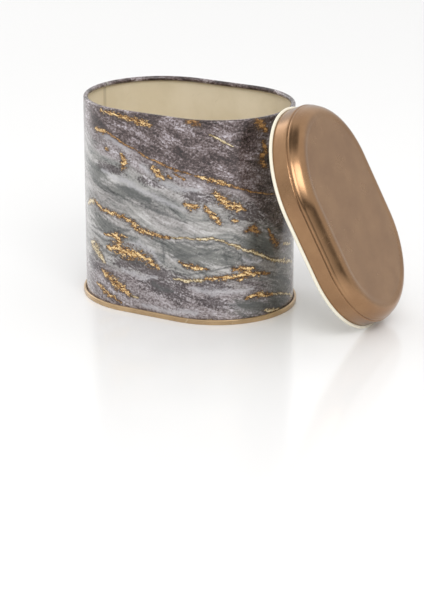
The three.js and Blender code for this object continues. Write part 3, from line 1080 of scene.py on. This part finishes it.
# Where the print wears: down from the rim's top, and up from the seam.
RIM_WEAR_FROM = TIN_HEIGHT - 2.2 * MM
RIM_WEAR_FULL = TIN_HEIGHT - 0.6 * MM
SEAM_WEAR_TO = SEAM_HEIGHT + 1.2 * MM
FOOT_WEAR_TO = 0.5 * MM

# Where the lid wears, as places from the foot of the step round its skirt.
STEP_WEAR = (-0.3 * MM, 0.8 * MM)
STEP_WEAR_SOFT = 0.5 * MM

BUMP_DISTANCE = 0.05 * MM


def new_finish(name):
    """A material with nothing but its output and a Principled shader."""
    finish = bpy.data.materials.new(name)
    finish.use_nodes = True
    finish.node_tree.nodes.clear()
    tree = Wiring(finish.node_tree)
    shader = tree.add("ShaderNodeBsdfPrincipled")
    tree.add("ShaderNodeOutputMaterial", {"Surface": shader})
    return finish, tree, shader


def set_shader(tree, shader, **inputs):
    """Links or sets the shader's sockets. An underscore in a name stands for a space."""
    for name, value in inputs.items():
        fill(tree.tree, shader.inputs[name.replace("_", " ")], value)


def object_place(tree):
    """The place on the piece, in metres of the frame."""
    return tree.add("ShaderNodeTexCoord").outputs["Object"]


def sheet_place(tree):
    """The place on the flat sheet: run round the wall, and run along the section."""
    return tree.add("ShaderNodeUVMap", uv_map="sheet").outputs[0]


def bumped(tree, height, strength):
    """A bump from a height: this much of it shows."""
    inputs = {"Height": height, "Strength": strength, "Distance": BUMP_DISTANCE}
    return tree.add("ShaderNodeBump", inputs)


def clouded(tree, place, scale, shades):
    """Two close shades that drift into each other."""
    cloud = tree.noise(place, scale, detail=4, roughness=0.6)[0]
    return tree.colours(cloud, [(0.35, shades[0]), (0.65, shades[1])])


def marble_print(marks, wear, seam):
    """The outside of the wall: the marble print under a clear varnish."""
    finish, tree, shader = new_finish("marble_print")
    sheet, place = sheet_place(tree), object_place(tree)
    colour, gold = veined_marble(tree, sheet)
    mark = place_group(
        tree, marks, Place=place, Base_roughness=0.17, Smudges=0.1, Scratches=0.5, Ripple=0.5
    )
    height = tree.split(sheet)[1]
    on_rim = tree.ramp(height, RIM_WEAR_FROM, RIM_WEAR_FULL)
    by_seam = tree.ramp(height, SEAM_HEIGHT, SEAM_WEAR_TO, 1.0, 0.0)
    where = tree.number("MAXIMUM", on_rim, by_seam)
    worn = place_group(tree, wear, Place=place, Where=where, Amount=0.35)["Worn"]
    strip = place_group(tree, seam, Sheet=sheet, Width=1.6 * MM)["Strip"]
    colour = tree.tinted(colour, worn, 0.6, WORN_PRINT)
    colour = tree.tinted(colour, strip, 0.9, SEAM_ON_PRINT)
    colour = tree.tinted(colour, mark["Scratch"], 0.3, SCRATCHED_PRINT)
    raised = tree.number("MULTIPLY_ADD", gold, 0.5, mark["Height"])
    raised = tree.number("MULTIPLY_ADD", strip, -1.5, raised)
    set_shader(
        tree,
        shader,
        Base_Color=colour,
        Roughness=tree.number("MULTIPLY_ADD", gold, -0.06, mark["Roughness"]),
        Metallic=tree.number("MULTIPLY", gold, 0.35),
        Coat_Weight=0.2,
        Coat_Roughness=0.08,
        Normal=bumped(tree, raised, 0.14),
    )
    return finish


def cream_lacquer(name, marks, shades, seam=None, streaks=0.5):
    """The lining: cream lacquer, with the fine lines that drawing or rolling leaves in it."""
    finish, tree, shader = new_finish(name)
    sheet, place = sheet_place(tree), object_place(tree)
    mark = place_group(
        tree, marks, Place=place, Base_roughness=0.4, Smudges=0.12, Scratches=0.4, Ripple=0.6
    )
    drawn_out = tree.vector("MULTIPLY", sheet, (900, 40, 1))
    drawn = tree.noise(drawn_out, scale=1, detail=3, roughness=0.5)[0]
    colour = clouded(tree, place, 45, shades)
    colour = tree.tinted(colour, drawn, 0.08 * streaks, DRAWN_LINES)
    raised = tree.number("MULTIPLY_ADD", drawn, streaks, mark["Height"])
    if seam:
        strip = place_group(tree, seam, Sheet=sheet, Width=2.4 * MM)["Strip"]
        colour = tree.tinted(colour, strip, 0.5, SEAM_ON_CREAM)
        raised = tree.number("MULTIPLY_ADD", strip, 3, raised)
    set_shader(
        tree,
        shader,
        Base_Color=tree.tinted(colour, mark["Scratch"], 0.35, SCRATCHED_CREAM),
        Roughness=mark["Roughness"],
        Coat_Weight=0.15,
        Coat_Roughness=0.2,
        Normal=bumped(tree, raised, 0.22),
    )
    return finish


def gold_lacquer(name, marks, wear, shades, metallic):
    """The bottom: gold lacquer over bright tinplate, rubbed where it stands on the seam."""
    finish, tree, shader = new_finish(name)
    place = object_place(tree)
    mark = place_group(
        tree, marks, Place=place, Base_roughness=0.3, Smudges=0.14, Scratches=0.8, Ripple=0.6
    )
    foot = tree.ramp(tree.split(place)[2], 0, FOOT_WEAR_TO, 1.0, 0.0)
    worn = place_group(tree, wear, Place=place, Where=foot, Amount=0.8)["Worn"]
    colour = tree.tinted(clouded(tree, place, 60, shades), worn, 0.7, WORN_GOLD)
    set_shader(
        tree,
        shader,
        Base_Color=tree.tinted(colour, mark["Scratch"], 0.5, SCRATCHED_GOLD),
        Roughness=tree.number("MULTIPLY_ADD", worn, 0.12, mark["Roughness"]),
        Metallic=metallic,
        Coat_Weight=0.2,
        Coat_Roughness=0.2,
        Normal=bumped(tree, mark["Height"], 0.3),
    )
    return finish


def copper_lacquer(marks, wear, step_run):
    """The lid's outside: satin copper lacquer over tinplate. step_run is how far along the
    sheet the step round the skirt is."""
    finish, tree, shader = new_finish("satin_copper_lacquer")
    sheet, place = sheet_place(tree), object_place(tree)
    mark = place_group(
        tree, marks, Place=place, Base_roughness=0.2, Smudges=0.05, Scratches=0.15, Ripple=0.6
    )
    flake = tree.noise(place, scale=3400, detail=2, roughness=0.5)[0]
    from_step, to_step = (step_run + edge for edge in STEP_WEAR)
    where = band_of(tree, tree.split(sheet)[1], from_step, to_step, STEP_WEAR_SOFT)
    worn = place_group(tree, wear, Place=place, Where=where, Amount=0.4)["Worn"]
    colour = clouded(tree, place, 50, COPPER_SHADES)
    colour = tree.blend(tree.ramp(flake, 0.5, 0.75, 0, 0.14), colour, COPPER_FLAKE)
    colour = tree.tinted(colour, worn, 0.5, COPPER_FLAKE)
    set_shader(
        tree,
        shader,
        Base_Color=tree.tinted(colour, mark["Scratch"], 0.5, COPPER_FLAKE),
        Roughness=mark["Roughness"],
        Metallic=1.0,
        Coat_Weight=0.06,
        Coat_Roughness=0.2,
        Normal=bumped(tree, tree.number("MULTIPLY_ADD", flake, 0.4, mark["Height"]), 0.1),
    )
    return finish


def sealing_compound(marks):
    """The soft ring that seals the fold of the bottom."""
    finish, tree, shader = new_finish("sealing_compound")
    place = object_place(tree)
    mark = place_group(
        tree, marks, Place=place, Base_roughness=0.7, Smudges=0.2, Scratches=0, Ripple=1
    )
    set_shader(
        tree,
        shader,
        Base_Color=clouded(tree, place, 300, COMPOUND_SHADES),
        Roughness=mark["Roughness"],
        Normal=bumped(tree, mark["Height"], 0.6),
    )
    return finish


# ----------------------------------------------------------
# The pieces
# ----------------------------------------------------------

def corners_of(mesh):
    """The lowest and the highest corner of a mesh's box."""
    axes = list(zip(*[vertex.co for vertex in mesh.vertices]))
    return Vector([min(axis) for axis in axes]), Vector([max(axis) for axis in axes])


def lean(lid):
    """Turns the lid as it leans, then sets it where the frame has it."""
    turns = [math.radians(turn) for turn in LID_TURNS]
    lid.data.transform(Euler(turns, "XYZ").to_matrix().to_4x4())
    low, high = corners_of(lid.data)
    frame_low, frame_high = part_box("lid")
    middle, frame_middle = (low + high) / 2, (frame_low + frame_high) / 2
    lid.data.transform(Matrix.Translation(frame_middle - middle))


def hand_over(piece, body, node):
    """Hangs a finished piece on the body it rides, and hides the frame's part that it replaces."""
    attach(piece, body)
    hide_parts(node)


def make_tin(tree, marks, wear, seam):
    """The wall and the bottom."""
    middle = Matrix.Translation((TIN_MIDDLE.x, TIN_MIDDLE.y, 0))
    outside = marble_print(marks, wear, seam)
    lining = cream_lacquer("cream_lining", marks, TIN_CREAM, seam)
    section = tin_body_section()
    wall = wrap_sheet("tin_wall", section, True, tree, outside, lining, middle)
    hand_over(wall, "tin", "tin_body")
    under = gold_lacquer("gold_lacquer", marks, wear, GOLD_SHADES, 0.85)
    over = gold_lacquer("pale_gold_lacquer", marks, wear, PALE_GOLD_SHADES, 0.0)
    section = bottom_end_section()
    bottom = wrap_sheet("tin_bottom", section, False, tree, under, over, middle)
    hand_over(bottom, "tin", "bottom_end")


def make_lid(tree, marks, wear):
    """The lid, leaning on the tin."""
    section = lid_section()
    step_foot = (LID_CLEARANCE + LID_SHEET, LID_STEP_HEIGHT - LID_STEP_ROUND)
    copper = copper_lacquer(marks, wear, run_to(section, step_foot))
    cream = cream_lacquer("cream_lid_lining", marks, LID_CREAM, streaks=0.3)
    lid = wrap_sheet("lid_shell", section, False, tree, copper, cream, Matrix())
    lean(lid)
    hand_over(lid, "lid", "lid")


def make_object():
    """All the pieces. The sealing compound keeps the frame's own shape."""
    tree = oval_wrap()
    marks, wear, seam = handling_marks(), edge_wear(), side_seam()
    make_tin(tree, marks, wear, seam)
    make_lid(tree, marks, wear)
    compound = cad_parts["seam_compound"]
    compound.data.materials.clear()
    compound.data.materials.append(sealing_compound(marks))


# ----------------------------------------------------------
# Floor, light and camera
# ----------------------------------------------------------

FLOOR_SIZE = 24.0
FLOOR_COLOUR = (0.87, 0.866, 0.86, 1)

CAMERA_PLACE = (0.50656, -0.91373, 0.36669)
CAMERA_TARGET = (-0.01325, -0.004, 0.0)
CAMERA_LENS = 128.66
CAMERA_REACH = 60
SENSOR = 36.0

# The studio's walls: how bright they are level with the eye and above. Heights run from 0,
# level, to 1, straight up.
STUDIO_WALL = (-0.05, 0.6)
STUDIO_HORIZON = 0.76
STUDIO_ABOVE = 1.08

# Its dark opening overhead and its dark gap low down: how bright each is, and where.
STUDIO_OPENING = 0.2
OPENING_EDGE = (0.9, 0.98)
STUDIO_GAP = 0.12
GAP_WAY = (0.7, -0.714, 0.0)
GAP_SIDES = (0.55, 0.85)
GAP_HEIGHTS = (-0.03, 0.16)
GAP_SOFT = 0.08

# Each light's place, what it points at, its width, height and power.
LIGHTS = {
    "softbox": ((0.8, -0.9, 1.06), (0.04, 0, 0.05), 0.95, 0.85, 11),
    "left_side": ((-1.7, 0.5, 0.8), (0, 0, 0.05), 1.0, 1.0, 5.5),
}


def make_floor():
    """A wide pale table top, smooth enough to mirror the tin a little."""
    half = FLOOR_SIZE / 2
    corners = [(-half, -half, 0), (half, -half, 0), (half, half, 0), (-half, half, 0)]
    mesh = bpy.data.meshes.new("floor")
    mesh.from_pydata(corners, [], [(0, 1, 2, 3)])
    floor = bpy.data.objects.new("floor", mesh)
    bpy.context.scene.collection.objects.link(floor)
    finish, tree, shader = new_finish("white_table")
    set_shader(tree, shader, Base_Color=FLOOR_COLOUR, Roughness=0.14)
    mesh.materials.append(finish)


def make_world():
    """A white studio with a dark opening overhead and a dark gap low down on one side."""
    world = bpy.data.worlds.new("studio")
    world.use_nodes = True
    world.node_tree.nodes.clear()
    tree = Wiring(world.node_tree)
    way = tree.add("ShaderNodeTexCoord").outputs["Generated"]
    height = tree.split(way)[2]
    opening = tree.ramp(height, *OPENING_EDGE, 0.0, 1 - STUDIO_OPENING)
    towards_gap = tree.ramp(tree.vector("DOT_PRODUCT", way, GAP_WAY), *GAP_SIDES)
    low = band_of(tree, height, *GAP_HEIGHTS, GAP_SOFT)
    gap = tree.number("MULTIPLY", tree.number("MULTIPLY", towards_gap, low), 1 - STUDIO_GAP)
    lit = tree.number("SUBTRACT", 1, tree.number("MAXIMUM", opening, gap))
    wall = tree.ramp(height, *STUDIO_WALL, STUDIO_HORIZON, STUDIO_ABOVE)
    glow = tree.number("MULTIPLY", wall, lit)
    seen = tree.add("ShaderNodeLightPath").outputs["Is Camera Ray"]
    strength = tree.number("MULTIPLY_ADD", seen, tree.number("SUBTRACT", 1, glow), glow)
    inputs = {"Color": (1, 1, 1, 1), "Strength": strength}
    background = tree.add("ShaderNodeBackground", inputs)
    tree.add("ShaderNodeOutputWorld", {"Surface": background})
    bpy.context.scene.world = world


def put_facing(name, data, place, target):
    """Sets a light or a camera at a place, facing a target."""
    made = bpy.data.objects.new(name, data)
    made.location = place
    towards = Vector(target) - Vector(place)
    made.rotation_euler = towards.to_track_quat("-Z", "Y").to_euler()
    bpy.context.scene.collection.objects.link(made)
    return made


def soft_light(name, place, target, width, height, power):
    """A flat rectangular light that isn't seen itself."""
    lamp = bpy.data.lights.new(name, "AREA")
    lamp.shape = "RECTANGLE"
    lamp.size = width
    lamp.size_y = height
    lamp.energy = power
    put_facing(name, lamp, place, target).visible_camera = False


def make_camera():
    """The camera, without shift or blur."""
    lens = bpy.data.cameras.new("view")
    lens.lens = CAMERA_LENS
    lens.sensor_width = SENSOR
    lens.clip_end = CAMERA_REACH
    bpy.context.scene.camera = put_facing("view", lens, CAMERA_PLACE, CAMERA_TARGET)


def make_stage():
    """Floor, studio, lights and camera."""
    make_floor()
    make_world()
    for name, light in LIGHTS.items():
        soft_light(name, *light)
    make_camera()
    bpy.context.scene.view_settings.view_transform = "Standard"


make_object()
make_stage()
